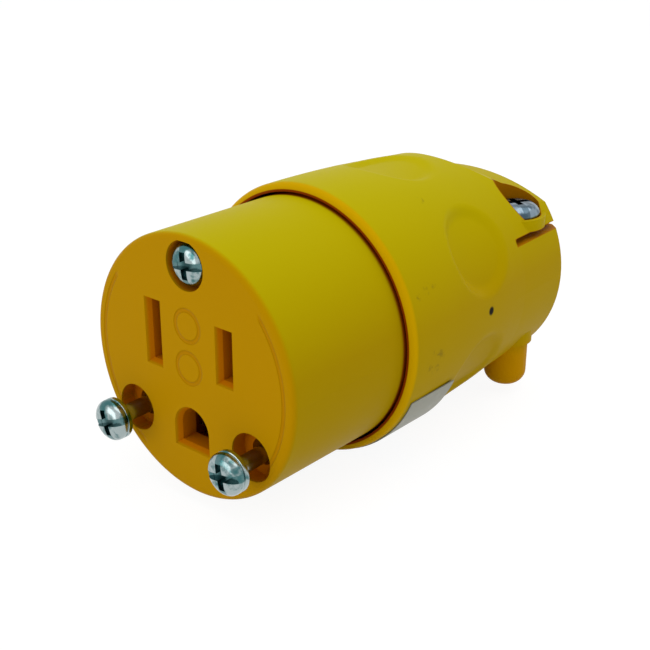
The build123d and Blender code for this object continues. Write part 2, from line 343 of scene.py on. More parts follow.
def bump(tree, height, depth, strength, normal=None):
    """Bump of the given depth in millimetres."""
    inputs = {"Height": height, "Distance": depth * MM, "Strength": strength}
    if normal is not None:
        inputs["Normal"] = normal
    return add_node(tree, "ShaderNodeBump", inputs).outputs["Normal"]


def shell_spot(tree, place, distance, angle, radius):
    """1 near a point of the grip, a distance behind the face and an angle up from +X; 0 at the radius."""
    turn = math.radians(angle)
    point = (MARKED_RADIUS * math.cos(turn), distance, MARKED_RADIUS * math.sin(turn))
    off = vector_node(tree, "DISTANCE", place, tuple(value * MM for value in point), "Value")
    return change(tree, off, radius, 0.55 * radius)


def arc_span(tree, place, radius, arcs):
    """1 within the sweeps of the arcs, with soft ends two degrees to either side."""
    span = 0.0
    for middle, half in arcs:
        turn = math.radians(middle)
        reach = along(tree, place, (0, 0, 0), (math.cos(turn), 0, math.sin(turn)))
        ends = [radius * math.cos(math.radians(half + soft)) for soft in (2, -2)]
        span = math_node(tree, "ADD", change(tree, reach, *ends), span)
    return span


def face_relief(tree, place):
    """Height of the fine lines on the mating face: two arcs near the rim and two small rings."""
    total = 0.0
    for height, radius, arcs in [(0, LINE_RADIUS, LINE_ARCS)] + [(h, RING_RADIUS, ()) for h in RING_HEIGHTS]:
        reach = flat_distance(tree, place, ALONG_CORD, (0, 0, height))
        line = change(tree, away_from(tree, reach, radius), *LINE_HALF)
        if arcs:
            line = times(tree, line, arc_span(tree, place, radius, arcs))
        total = math_node(tree, "ADD", line, total)
    return math_node(tree, "SUBTRACT", 1.0, total, clamp=True)


def paint_face(tree, place, shade, skin, settings):
    """Painted warm light on the flat mating face, painted shade deeper on the edges and inside of every slot
    and hole, deeper still further in, behind the collar and in the fine lines.
    """
    depth = coordinates(tree, place)["Y"]
    inside = change(tree, flat_distance(tree, place, ALONG_CORD), *WITHIN_RIM)
    edge = change(tree, depth, *EDGE_SHADE_DEPTH)
    layers = [
        (change(tree, depth, *FACE_LIGHT_DEPTH), settings.face_light_colour),
        (times(tree, inside, edge), settings.edge_shade_colour),
        (times(tree, inside, change(tree, depth, *SLOT_SHADOW_DEPTH)), settings.slot_shadow_colour),
    ]
    # Painted shade inside the two open screw holes
    for x, z in LOOSE_HOLES:
        hole = change(tree, flat_distance(tree, place, ALONG_CORD, (x, 0, z)), *HOLE_SHADE_WALL)
        layers.append((times(tree, hole, edge), settings.hole_shade_colour))
    # Painted shadow on the back of the body, under the collar
    layers.append((change(tree, depth, *BODY_BACK_SHADOW), settings.gap_shadow_colour))
    # Painted shade in the fine lines and rings, on top of their bump
    relief = face_relief(tree, place)
    line_shade_mask = math_node(tree, "SUBTRACT", 1.0, relief)
    layers.append((times(tree, line_shade_mask, settings.line_shade), settings.line_shade_colour))
    return paint_over(tree, shade, layers), bump(tree, relief, LINE_DEPTH, settings.line_strength, skin)


def paint_shell(tree, place, shade, skin, settings):
    """Painted light on the collar edge, painted shade in the gap under the collar, in the slit, in the
    pockets and on the feet; then scuffs and the dark speck.
    """
    depth = coordinates(tree, place)["Y"]
    height = coordinates(tree, place)["Z"]
    bore = change(tree, flat_distance(tree, place, ALONG_CORD), *GAP_SHADOW_BORE)
    slit = change(tree, away_from(tree, height, SLIT_LEVEL), *SLIT_HALF)
    layers = [
        # Painted warm light on the front edge of the collar
        (change(tree, depth, *COLLAR_RIM_LIGHT), settings.rim_light_colour),
        # Painted shadow in the gap under the collar
        (times(tree, bore, change(tree, depth, *GAP_SHADOW_DEPTH)), settings.gap_shadow_colour),
        # Painted shade in the slit
        (times(tree, slit, change(tree, depth, *SLIT_START)), settings.wall_shade_colour),
    ]
    for x, y in FEET:
        away = flat_distance(tree, place, FROM_ABOVE, (x, y, 0))
        # Painted shade in the pocket round each clamp screw
        pocket = times(tree, change(tree, away, *POCKET_WALL), change(tree, height, *POCKET_FLOOR))
        layers.append((pocket, settings.wall_shade_colour))
        # Painted warm shade on the feet
        foot = times(tree, change(tree, away, *FOOT_SHADE_SIDE), change(tree, height, *FOOT_SHADE_HEIGHT))
        layers.append((times(tree, foot, settings.foot_shade_strength), settings.foot_shade_colour))
    smears = soft_step(tree, noise(tree, place, 900.0, detail=4.0, roughness=0.7), 0.5, 0.68)
    for scuff in SCUFFS:
        patchy = times(tree, shell_spot(tree, place, *scuff), smears)
        layers.append((times(tree, patchy, settings.scuff_strength), settings.scuff_colour))
    layers.append((shell_spot(tree, place, *DARK_DOT), settings.dot_colour))
    return paint_over(tree, shade, layers), skin


def make_yellow(name, settings, colour, paint):
    """Satin yellow moulding: slight clouds, orange-peel skin, a painted cool light on the upper side, and
    the painted light and shade that paint adds by place.
    """
    material, tree, output = new_material(name)
    place = object_place(tree)
    deep = opaque([part * factor for part, factor in zip(colour, settings.deep_shade)])
    clouds = soft_step(tree, noise(tree, place, settings.cloud_scale, detail=3.0), 0.35, 0.75)
    shade = mix_colours(tree, times(tree, clouds, 0.35), opaque(colour), deep)
    # In the photo the upper side is a little more lemon
    # Painted light: the greener upper side stands for the cool key light from above
    low, high = (value * MM for value in TOP_LIGHT_HEIGHT)
    lemon = spread(tree, coordinates(tree, place)["Z"], 0.0, 1.0, low, high)
    shade = mix_colours(tree, lemon, shade, opaque(settings.top_light_colour))
    grain = noise(tree, place, settings.grain_scale, roughness=0.6)
    skin = bump(tree, grain, 0.06, settings.grain_strength)
    shade, skin = paint(tree, place, shade, skin, settings)
    finish_surface(
        tree,
        output,
        {
            "Base Color": shade,
            "Roughness": spread(tree, grain, settings.roughness - 0.05, settings.roughness + 0.06),
            "Specular IOR Level": settings.gloss,
            "Specular Tint": opaque(settings.gloss_colour),
            "Normal": skin,
        },
    )
    return material


def make_plain_plastic(name, colour, roughness):
    """Matt moulding with a fine grain."""
    material, tree, output = new_material(name)
    grain = noise(tree, object_place(tree), 2200.0, detail=3.0, roughness=0.6)
    dark = opaque([0.75 * part for part in colour])
    finish_surface(
        tree,
        output,
        {
            "Base Color": mix_colours(tree, soft_step(tree, grain, 0.35, 0.7), opaque(colour), dark),
            "Roughness": roughness,
            "Normal": bump(tree, grain, 0.04, 0.3),
        },
    )
    return material


def recess_shade(tree, place, shade, seat, size, dark):
    """Darken what lies inside the slots of one screw's head, most of all at its middle."""
    origin = seat.translation
    axes = seat.to_3x3().col
    across = [math_node(tree, "ABSOLUTE", along(tree, place, origin, axes[i])) for i in (0, 1)]
    height = along(tree, place, origin, axes[2])
    half = 0.5 * size.slot_width
    inside = times(
        tree,
        change(tree, math_node(tree, "MINIMUM", *across), half + 0.06, half + 0.01),
        change(tree, height, 0.25 * size.height, 0.3 * size.height),
    )
    middle = change(tree, math_node(tree, "MAXIMUM", *across), 0.5 * size.head, 0.1 * size.head)
    darkest = [0.4 * part for part in dark]
    return paint_over(
        tree, shade, [(times(tree, inside, 0.8), dark), (times(tree, inside, middle), darkest)]
    )


def make_metal(name, metal, seat=None, size=None):
    """Plated or rolled metal with patches, on the zinc screws partly painted reflection, and uneven sheen; a
    screw also has a seat and sizes.
    """
    material, tree, output = new_material(name)
    place = object_place(tree)
    patches = soft_step(tree, noise(tree, place, metal.patches, detail=3.0, roughness=0.6), 0.42, 0.62)
    if seat is not None:
        # The neck under the head is left plain, without the patches and their painted reflection
        height = along(tree, place, seat.translation, seat.to_3x3().col[2])
        patches = times(tree, patches, change(tree, height, 0.0, 0.2))
    shade = mix_colours(tree, patches, opaque(metal.colour), opaque(metal.tint))
    if seat is not None:
        shade = recess_shade(tree, place, shade, seat, size, metal.tint)
    sheen = noise(tree, place, 1500.0, detail=3.0)
    finish_surface(
        tree,
        output,
        {
            "Base Color": shade,
            "Metallic": 1.0,
            "Roughness": spread(tree, sheen, metal.roughness - 0.06, metal.roughness + 0.1),
            "Normal": bump(tree, noise(tree, place, 9000.0), 0.02, 0.25),
        },
    )
    return material


def make_label(name, colour):
    """Blank white sticker, a little grubby, with slight creases."""
    material, tree, output = new_material(name)
    place = object_place(tree)
    grime = soft_step(tree, noise(tree, place, 420.0, detail=4.0, roughness=0.65), 0.5, 0.8)
    finish_surface(
        tree,
        output,
        {
            "Base Color": mix_colours(tree, times(tree, grime, 0.35), opaque(colour), opaque(GRIME_COLOUR)),
            "Roughness": 0.42,
            "Normal": bump(tree, noise(tree, place, 260.0), 0.12, 0.35),
        },
    )
    return material


def dress(node, material):
    """Give a CAD node its finish."""
    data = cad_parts[node].data
    data.materials.clear()
    data.materials.append(material)


def link_object(name, data):
    """Put a mesh, a lamp or a camera into the scene."""
    thing = bpy.data.objects.new(name, data)
    bpy.context.scene.collection.objects.link(thing)
    return thing


def add_piece(name, mesh, angle=35):
    """Link a finished mesh as a piece that goes with the root body."""
    mesh.polygons.foreach_set("use_smooth", [True] * len(mesh.polygons))
    if angle:
        mesh.set_sharp_from_angle(angle=math.radians(angle))
    piece = link_object(name, mesh)
    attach(piece, "root")
    return piece


def arc(centre, radii, start, end, steps):
    """Points of an arc about a centre, given its radii across and up and its ends in degrees."""
    turns = [math.radians(start + (end - start) * i / steps) for i in range(steps + 1)]
    return [(centre[0] + radii[0] * math.cos(t), centre[1] + radii[1] * math.sin(t)) for t in turns]


def turned(name, outline, steps, closed=False):
    """Solid about Z from an outline of (radius, height) points in millimetres; a ring if it is closed."""
    work = bmesh.new()
    turns = [2 * math.pi * i / steps for i in range(steps)]
    rings = []
    for radius, height in outline:
        around = [(radius * MM * math.cos(t), radius * MM * math.sin(t), height * MM) for t in turns]
        rings.append([work.verts.new(point) for point in (around if radius else around[:1])])
    for upper, lower in zip(rings, rings[1:] + rings[:1] if closed else rings[1:]):
        for i in range(steps):
            j = (i + 1) % steps
            corners = [ring[k % len(ring)] for ring, k in ((upper, i), (lower, i), (lower, j), (upper, j))]
            work.faces.new(list(dict.fromkeys(corners)))
    bmesh.ops.recalc_face_normals(work, faces=work.faces)
    mesh = bpy.data.meshes.new(name)
    work.to_mesh(mesh)
    work.free()
    return mesh


def grip_radius(distance):
    """Radius of the bowed grip at a distance behind the mating face, both in millimetres."""
    past = max(0.0, distance - BOW_START) / (GRIP_END - BOW_START)
    return COLLAR_RADIUS + (GRIP_END_RADIUS - COLLAR_RADIUS) * past * past


def grip_rows(count=80):
    """Outline of the collar and grip, from the bore's edge to where the kept faces begin."""
    first = COLLAR_START + COLLAR_ROUND
    rows = [(BORE_EDGE, COLLAR_START)]
    rows += arc((COLLAR_RADIUS - COLLAR_ROUND, first), (COLLAR_ROUND, COLLAR_ROUND), -81, 0, 9)
    for i in range(1, count + 1):
        distance = first + (GRIP_END - first) * i / count
        rows.append((grip_radius(distance), distance))
    return rows


def soft_grip(settings, steps=360):
    """Points, faces and corner directions of the grip with its soft dimples, one of them at the top."""
    share = 2 * math.pi / DIMPLES
    points = []
    rows = grip_rows()
    for radius, distance in rows:
        for i in range(steps):
            turn = 2 * math.pi * i / steps
            # Angle from the middle of the nearest dimple
            near = (turn - math.pi / 2 + share / 2) % share - share / 2
            reach = math.hypot(near * DIMPLE_FLOOR, distance - DIMPLE_PLACE) / settings.dimple_reach
            x = min(1.0, max(0.0, (1.0 - reach) / (1.0 - settings.dimple_inner)))
            depth = x * x * x * (x * (6 * x - 15) + 10)
            dish = settings.dimple_dish * max(0.0, 1.0 - reach * reach)
            here = radius - depth * max(0.0, radius - DIMPLE_FLOOR) - dish
            points.append((here * MM * math.cos(turn), distance * MM, here * MM * math.sin(turn)))
    faces = []
    for row in range(len(rows) - 1):
        for i in range(steps):
            j = (i + 1) % steps
            faces.append((row * steps + i, (row + 1) * steps + i, (row + 1) * steps + j, row * steps + j))
    out = []
    for row in range(len(rows)):
        for i in range(steps):
            fore = Vector(points[min(row + 1, len(rows) - 1) * steps + i])
            back = Vector(points[max(row - 1, 0) * steps + i])
            left = Vector(points[row * steps + (i - 1) % steps])
            right = Vector(points[row * steps + (i + 1) % steps])
            out.append((fore - back).cross(right - left).normalized())
    return points, faces, [out[corner] for face in faces for corner in face]


def split_faces(work, faces, point, normal):
    """Cut some faces of a mesh along a plane."""
    parts = set(faces)
    for face in faces:
        parts.update(face.edges)
        parts.update(face.verts)
    bmesh.ops.bisect_plane(work, geom=list(parts), dist=1e-7, plane_co=point, plane_no=normal)


def cut_foot(work, x, y):
    """Take the bevelled tip off one foot, so that a rounded one can take its place."""
    level = (FOOT_TIP + FOOT_ROUND) * MM
    reach = (FOOT_RADIUS + 0.05) * MM
    near = [
        f for f in work.faces
        if min(v.co.z for v in f.verts) < level
        and all(math.hypot(v.co.x - x, v.co.y - y) < reach for v in f.verts)
    ]
    split_faces(work, near, (0, 0, level), (0, 0, 1))
    tip = [
        f for f in work.faces
        if f.calc_center_median().z < level
        and all(math.hypot(v.co.x - x, v.co.y - y) < reach and v.co.z < level + 1e-6 for v in f.verts)
    ]
    bmesh.ops.delete(work, geom=tip, context="FACES")


def is_outer(face):
    """Whether a face of the CAD shell is on its outside, or is a wall of a dimple."""
    middle = face.calc_center_median()
    radial = Vector((middle.x, 0, middle.z))
    if radial.length < OUTER_RADIUS * MM:
        return False
    # Only the walls of the dimples stand square to the grip this near to their middles
    at_dimple = abs(middle.y / MM - DIMPLE_PLACE) < DIMPLE_HALF
    return at_dimple or face.normal.dot(radial.normalized()) > OUTER_FACING


def kept_faces(mesh):
    """Points, faces and corner directions of the shell's other faces, cut off where the grip ends."""
    work = bmesh.new()
    work.from_mesh(mesh)
    work.normal_update()
    layer = work.loops.layers.float_vector.new("direction")
    directions = [Vector(c.vector) for c in mesh.corner_normals]
    for face in work.faces:
        for loop in face.loops:
            loop[layer] = directions[loop.index]
    split_faces(work, [f for f in work.faces if is_outer(f)], (0, GRIP_END * MM, 0), (0, 1, 0))
    work.normal_update()
    grip = [f for f in work.faces if f.calc_center_median().y < GRIP_END * MM and is_outer(f)]
    if not grip:
        raise RuntimeError("The rear shell has no grip faces to make again")
    bmesh.ops.delete(work, geom=grip, context="FACES")
    for x, y in FEET:
        cut_foot(work, x * MM, y * MM)
    work.verts.index_update()
    points = [tuple(v.co) for v in work.verts]
    faces = [tuple(v.index for v in f.verts) for f in work.faces]
    corners = [Vector(loop[layer]).normalized() for f in work.faces for loop in f.loops]
    work.free()
    return points, faces, corners


def make_shell(settings, material):
    """The rear shell with its soft grip and rounded feet."""
    points, faces, corners = kept_faces(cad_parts[SHELL].data)
    more_points, more_faces, more_corners = soft_grip(settings)
    start = len(points)
    mesh = bpy.data.meshes.new("rear_shell_soft")
    mesh.from_pydata(
        points + more_points, [], faces + [tuple(start + i for i in face) for face in more_faces]
    )
    mesh.materials.append(material)
    shell = add_piece("rear_shell_soft", mesh, angle=0)
    mesh.normals_split_custom_set(corners + more_corners)
    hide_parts(SHELL)
    middle = (FOOT_RADIUS - FOOT_ROUND, FOOT_TIP + FOOT_ROUND)
    outline = [(0, middle[1])] + arc(middle, (FOOT_ROUND, FOOT_ROUND), 0, -90, 9) + [(0, FOOT_TIP)]
    for (x, y), side in zip(FEET, ("left", "right")):
        mesh = turned("foot_" + side, outline, 72)
        mesh.transform(Matrix.Translation((x * MM, y * MM, 0)))
        mesh.materials.append(material)
        add_piece("foot_" + side, mesh)


def make_face_rim(material):
    """Round edge of the face body, laid over the CAD solid's bevel."""
    inner = FACE_RADIUS - FACE_ROUND
    outline = arc((inner, FACE_ROUND), (FACE_ROUND, FACE_ROUND), -90, 0, 9)
    # The last point lies inside the face body
    outline.append((inner + 0.45 * FACE_ROUND, 0.55 * FACE_ROUND))
    mesh = turned("face_rim", outline, 240, closed=True)
    mesh.transform(Matrix.Rotation(math.radians(-90), 4, "X"))
    mesh.materials.append(material)
    add_piece("face_rim", mesh)


def screw_outline(size, length):
    """Outline of a screw: domed top, groove above the flange, plain neck, core, short point."""
    head, height, neck, shank = size.head, size.height, size.neck, size.shank
    dome_start = height * (0.5 if size.flange else 0.35)
    crown = 0.42 * head
    points = [(0, height)] + arc((crown, dome_start), (head - crown, height - dome_start), 90, 0, 8)
    if size.flange:
        points += [(head, 0.40 * height), (0.93 * head, 0.35 * height), (0.93 * head, 0.31 * height)]
        points += [(head, 0.26 * height)]
    points += [(head, 0.06 * height), (0.97 * head, 0.0)]
    core = CORE_SHARE * shank
    points += [(neck, 0.0), (neck, -size.plain), (core, -size.plain - 0.2 * shank)]
    points += [(core, -length + shank), (0.35 * shank, -length), (0, -length)]
    return points


def new_group(name, sizes):
    """Geometry node group: a blank, its sizes and its finish going in, the finished mesh coming out."""
    tree = bpy.data.node_groups.new(name, "GeometryNodeTree")
    sockets = [("Blank", "Geometry")] + [(label, "Float") for label in sizes] + [("Finish", "Material")]
    for label, kind in sockets:
        tree.interface.new_socket(label, in_out="INPUT", socket_type="NodeSocket" + kind)
    tree.interface.new_socket("Finished", in_out="OUTPUT", socket_type="NodeSocketGeometry")
    return tree


def screw_tree():
    """Rolls a thread round the blank's core and presses a slot and a cross into its head."""
    tree = new_group(
        "Screw Thread And Recess",
        (
            "Core Radius", "Thread Height", "Thread Start", "Thread Length", "Thread Turns",
            "Head Radius", "Head Height", "Slot Width", "Slot Depth", "Cross Length",
        ),
    )
    given = add_node(tree, "NodeGroupInput").outputs
    spiral = add_node(
        tree,
        "GeometryNodeCurveSpiral",
        {
            "Resolution": 20,
            "Rotations": given["Thread Turns"],
            "Start Radius": given["Core Radius"],
            "End Radius": given["Core Radius"],
            "Height": given["Thread Length"],
        },
    )
    drop = math_node(tree, "ADD", given["Thread Start"], given["Thread Length"])
    low = add_node(tree, "ShaderNodeCombineXYZ", {"Z": math_node(tree, "SUBTRACT", 0.0, drop)})
    lowered = add_node(
        tree, "GeometryNodeTransform", {"Geometry": spiral.outputs[0], "Translation": low.outputs[0]}
    )
    ridge = add_node(
        tree, "GeometryNodeCurvePrimitiveCircle", {"Resolution": 4, "Radius": given["Thread Height"]}
    )
    thread = add_node(
        tree,
        "GeometryNodeCurveToMesh",
        {"Curve": lowered.outputs[0], "Profile Curve": ridge.outputs[0], "Fill Caps": True},
    )
    # The slot runs right across the head; the cross is shorter and deeper
    top = add_node(tree, "ShaderNodeCombineXYZ", {"Z": given["Head Height"]})
    across = times(tree, given["Head Radius"], 3.0)
    deep = times(tree, given["Slot Depth"], 2.0)
    deeper = times(tree, given["Slot Depth"], 2.1)
    cut = add_node(
        tree,
        "GeometryNodeMeshBoolean",
        {"Mesh 1": given["Blank"], "Self Intersection": True},
        operation="DIFFERENCE",
        solver="EXACT",
    )
    for length, width, depth in (
        (across, given["Slot Width"], deep),
        (given["Slot Width"], given["Cross Length"], deeper),
        (given["Cross Length"], given["Slot Width"], deeper),
    ):
        size = add_node(tree, "ShaderNodeCombineXYZ", {"X": length, "Y": width, "Z": depth})
        cube = add_node(tree, "GeometryNodeMeshCube", {"Size": size.outputs[0]})
        cutter = add_node(
            tree, "GeometryNodeTransform", {"Geometry": cube.outputs[0], "Translation": top.outputs[0]}
        )
        tree.links.new(cutter.outputs[0], cut.inputs["Mesh 2"])
    join = add_node(tree, "GeometryNodeJoinGeometry")
    tree.links.new(cut.outputs["Mesh"], join.inputs[0])
    tree.links.new(thread.outputs[0], join.inputs[0])
    solid = add_node(tree, "GeometryNodeRealizeInstances", {"Geometry": join.outputs[0]})
    painted = add_node(
        tree, "GeometryNodeSetMaterial", {"Geometry": solid.outputs[0], "Material": given["Finish"]}
    )
    output = add_node(tree, "NodeGroupOutput")
    tree.links.new(painted.outputs[0], output.inputs[0])
    return tree


def apply_tree(name, blank, tree, values):
    """Run a node group on a blank and return the plain mesh."""
    source = link_object(name + "_blank", blank)
    modifier = source.modifiers.new(name, "NODES")
    modifier.node_group = tree
    sockets = {s.name: s.identifier for s in tree.interface.items_tree if s.in_out == "INPUT"}
    for label, value in values.items():
        modifier[sockets[label]] = value
    bpy.context.view_layer.update()
    evaluated = source.evaluated_get(bpy.context.evaluated_depsgraph_get())
    mesh = bpy.data.meshes.new_from_object(evaluated)
    source.modifiers.remove(modifier)
    bpy.data.objects.remove(source)
    if not mesh.polygons:
        raise RuntimeError(name + " came out empty")
    mesh.name = name
    return mesh


def head_place(low, high, facing, roll, height):
    """Seat of a screw, read from its CAD node's box, turned so that its head faces the right way."""
    direction = Vector(facing)
    half = (high - low) / 2
    top = (low + high) / 2 + Vector([half[i] * direction[i] for i in range(3)])
    turn = direction.to_track_quat("Z", "Y").to_matrix().to_4x4()
    return Matrix.Translation(top - height * direction) @ turn @ Matrix.Rotation(math.radians(roll), 4, "Z")


def sag(node, place):
    """Small turn of a loose screw about the middle of the hole it hangs in."""
    across, up = SAG[node]
    pivot = Vector((place.translation.x, SAG_PLACE * MM, place.translation.z))
    turn = Matrix.Rotation(math.radians(across), 4, "Z") @ Matrix.Rotation(math.radians(-up), 4, "X")
    return Matrix.Translation(pivot) @ turn @ Matrix.Translation(-pivot)


def make_screw(screw, tree, size):
    """One finished screw that stands for its CAD node."""
    node = screw.node
    low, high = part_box(node)
    total = max(abs((high - low)[i] * screw.facing[i]) for i in range(3)) / MM
    length = total - size.height
    threaded = length - size.shank - size.plain
    place = head_place(low, high, screw.facing, screw.roll, size.height * MM)
    if node in SAG:
        place = sag(node, place) @ place
    lengths = {
        "Core Radius": CORE_SHARE * size.shank,
        "Thread Height": RIDGE_SHARE * size.shank,
        "Thread Start": size.plain,
        "Thread Length": threaded,
        "Head Radius": size.head,
        "Head Height": size.height,
        "Slot Width": size.slot_width,
        "Slot Depth": size.slot_depth,
        "Cross Length": size.cross,
    }
    values = {label: value * MM for label, value in lengths.items()}
    values["Thread Turns"] = threaded / size.pitch
    values["Finish"] = make_metal(node.replace("_", " ").title(), screw.metal, place, size)
    blank = turned(node + "_blank", screw_outline(size, length), 48)
    name = node.replace("_screw", "_screw_turned")
    mesh = apply_tree(name, blank, tree, values)
    mesh.transform(place)
    piece = add_piece(name, mesh)
    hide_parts(node)


def length_property(name, description, default, low=0.01, high=100.0):
    """Length in millimetres."""
    return bpy.props.FloatProperty(
        name=name, description=description, default=default, min=low, max=high, precision=2
    )


def share_property(name, description, default):
    """Share of a whole, from 0 to 1."""
    return bpy.props.FloatProperty(
        name=name, description=description, default=default, min=0.0, max=1.0, subtype="FACTOR"
    )


def waves_property(name, description, default):
    """Number of waves in a metre."""
    return bpy.props.FloatProperty(name=name, description=description, default=default, min=1.0)


def power_property(name, description, default):
    """Power of a lamp."""
    return bpy.props.FloatProperty(
        name=name, description=description, default=default, min=0.0, unit="POWER"
    )


def colour_property(name, description, default):
    """Colour in linear light."""
    return bpy.props.FloatVectorProperty(
        name=name, description=description, default=default, size=3, min=0.0, max=2.0, subtype="COLOR"
    )


def screw_properties(head, height, shank, pitch, neck, plain, slot_width, slot_depth, cross, flange):
    """Sizes of one kind of screw, in millimetres, and whether it has a flange."""
    return {
        "head": length_property("Head Radius", "Radius of the head", head),
        "height": length_property("Head Height", "Seat to crown", height),
        "shank": length_property("Thread Radius", "Outside radius of the thread", shank),
        "pitch": length_property("Pitch", "Distance between turns", pitch),
        "neck": length_property("Neck Radius", "Radius of the plain neck under the head", neck),
        "plain": length_property("Plain Length", "Unthreaded length under the head", plain),
        "slot_width": length_property("Slot Width", "Width of the slot and the cross", slot_width),
        "slot_depth": length_property("Slot Depth", "Depth of the slot", slot_depth),
        "cross": length_property("Cross Length", "Tip to tip of the cross", cross),
        "flange": bpy.props.BoolProperty(name="Flange", description="Groove above a flange", default=flange),
    }


class MouldingSettings(bpy.types.PropertyGroup):
    """Finish of the yellow mouldings"""

    body_colour: colour_property("Body Colour", "Sides of the face body", (0.43, 0.277, 0))
    shell_colour: colour_property("Shell Colour", "Rear shell", (0.45, 0.297, 0))
    # Painted light: colour of the cool key light on the upper side
    top_light_colour: colour_property("Top Light Colour", "Upper side of both mouldings", (0.53, 0.452, 0))
    # Painted light: the flat face is more orange, standing for the warm light it gets
    face_light_colour: colour_property("Face Light Colour", "Flat mating face", (0.475, 0.243, 0))
    # Painted warm shade on the feet under the cord clamp
    foot_shade_colour: colour_property("Foot Shade Colour", "Feet under the cord clamp", (0.57, 0.255, 0))
    # Painted warm light on the front edge of the collar
    rim_light_colour: colour_property("Rim Light Colour", "Front edge of the collar", (0.62, 0.36, 0))
    # Painted shade in the fine lines on the face
    line_shade_colour: colour_property("Line Shade Colour", "Fine lines on the face", (0.42, 0.155, 0))
    # Painted warm shade on the walls at the entry of the slots and holes
    edge_shade_colour: colour_property("Edge Shade Colour", "Edges of the slots and holes", (0.52, 0.167, 0))
    # Painted shadow deep in the slots
    slot_shadow_colour: colour_property("Slot Shadow Colour", "Depth of the slots", (0.24, 0.022, 0))
    # Painted shade in the slit and the pockets of the rear
    wall_shade_colour: colour_property("Wall Shade Colour", "Slit and pockets of the rear", (0.42, 0.16, 0))
    # Painted shade inside the two open screw holes
    hole_shade_colour: colour_property("Hole Shade Colour", "Inside of the two open screw holes", (0.5, 0.14, 0))
    # Painted shadow in the gap under the collar
    gap_shadow_colour: colour_property("Gap Shadow Colour", "Gap under the collar", (0.24, 0.035, 0))
    scuff_colour: colour_property("Scuff Colour", "Dirt in the scuffs", (0.12, 0.08, 0.014))
    dot_colour: colour_property("Dot Colour", "Small dark speck on the side", (0.006, 0.006, 0.005))
    gloss_colour: colour_property("Gloss Colour", "Colour of reflections seen head-on", (1.0, 0.85, 0.15))
    deep_shade: bpy.props.FloatVectorProperty(
        name="Deep Shade", description="Factors for the cloudy patches", default=(0.97, 0.93, 1.0), size=3
    )
    cloud_scale: waves_property("Cloud Scale", "Cloudy patches per metre", 70.0)
    grain_scale: waves_property("Grain Scale", "Orange-peel waves per metre", 2600.0)
    grain_strength: share_property("Grain Strength", "Depth of the orange-peel skin", 0.18)
    line_strength: share_property("Line Strength", "Depth of the lines on the face", 0.9)
    line_shade: share_property("Line Shade", "How much deeper the colour of these lines is", 0.45)
    # Strength of the painted warm shade on the feet
    foot_shade_strength: share_property("Foot Shade Strength", "How much of their own colour the feet have", 0.8)
    scuff_strength: share_property("Scuff Strength", "How dark the scuffs are", 0.5)
    roughness: share_property("Roughness", "Satin finish", 0.45)
    gloss: share_property("Gloss", "Strength of reflections", 0.02)
    dimple_reach: length_property("Dimple Reach", "Radius of a dimple's outer edge", 6.9, 1.0)
    dimple_inner: share_property("Dimple Inner", "Share of that radius that is flat floor", 0.68)
    dimple_dish: length_property("Dimple Dish", "How much deeper the middle of a dimple is", 0.45, 0.0)


class AssemblyScrewSettings(bpy.types.PropertyGroup):
    """Sizes of the three long screws"""

    __annotations__ = screw_properties(
        head=2.8, height=2.4, shank=1.6, pitch=0.72, neck=1.15, plain=9.0,
        slot_width=0.95, slot_depth=0.66, cross=3.5, flange=True
    )


class ClampScrewSettings(bpy.types.PropertyGroup):
    """Sizes of the two cord clamp screws"""

    __annotations__ = screw_properties(
        head=3.62, height=2.3, shank=1.7, pitch=0.9, neck=1.7, plain=3.0,
        slot_width=0.95, slot_depth=0.8, cross=3.2, flange=False
    )


class TerminalScrewSettings(bpy.types.PropertyGroup):
    """Sizes of the three terminal screws"""

    __annotations__ = screw_properties(
        head=3.4, height=2.2, shank=2.0, pitch=0.8, neck=2.0, plain=0.6,
        slot_width=0.95, slot_depth=0.7, cross=3.6, flange=False
    )


class StageSettings(bpy.types.PropertyGroup):
    """Light and background"""

    sky: bpy.props.FloatProperty(name="Sky", description="Even light from all round", default=0.56, min=0.0)
    sky_colour: colour_property("Sky Colour", "Colour of the even light", (1, 1, 1))
    key: power_property("Key", "Power of the soft light above", 0.86)
    key_colour: colour_property("Key Colour", "Colour of the soft light above", (1, 1, 1))
    front: power_property("Front", "Power of the front light", 0.76)
    front_colour: colour_property("Front Colour", "Colour of the front light", (1, 1, 1))
    floor_shadow: share_property("Floor Shadow", "How much of its shading the white floor shows", 0.15)
    floor_white: bpy.props.FloatProperty(
        name="Floor White", description="Strength that makes the unshaded floor pure white",
        default=1.08, min=0.0
    )


class CONNECTOR_OT_mouldings(bpy.types.Operator):
    """Give the face body and the rear shell their yellow satin finish"""

    bl_idname = "connector.mouldings"
    bl_label = "Finish Mouldings"

    def execute(self, context):
        settings = context.scene.connector_mouldings
        body = make_yellow("Yellow Face Body", settings, settings.body_colour, paint_face)
        shell = make_yellow("Yellow Rear Housing", settings, settings.shell_colour, paint_shell)
        dress(FACE_BODY, body)
        dress(SHELL, shell)
        make_face_rim(body)
        make_shell(settings, shell)
        return {"FINISHED"}


class CONNECTOR_OT_contacts(bpy.types.Operator):
    """Finish the carrier, the three contacts and their wire clamps"""

    bl_idname = "connector.contacts"
    bl_label = "Finish Contacts"

    def execute(self, context):
        dress(CARRIER, make_plain_plastic("Dark Carrier", CARRIER_COLOUR, 0.6))
        brass = make_metal("Contact Brass", CONTACT_BRASS)
        for node in CONTACTS:
            dress(node, brass)
        steel = make_metal("Clamp Steel", CLAMP_STEEL)
        for node in WIRE_CLAMPS:
            dress(node, steel)
        return {"FINISHED"}


class CONNECTOR_OT_screws(bpy.types.Operator):
    """Make every screw with its thread and its recess"""

    bl_idname = "connector.screws"
    bl_label = "Make Screws"

    def execute(self, context):
        tree = screw_tree()
        for screw in SCREWS:
            make_screw(screw, tree, getattr(context.scene, screw.sizes))
        return {"FINISHED"}


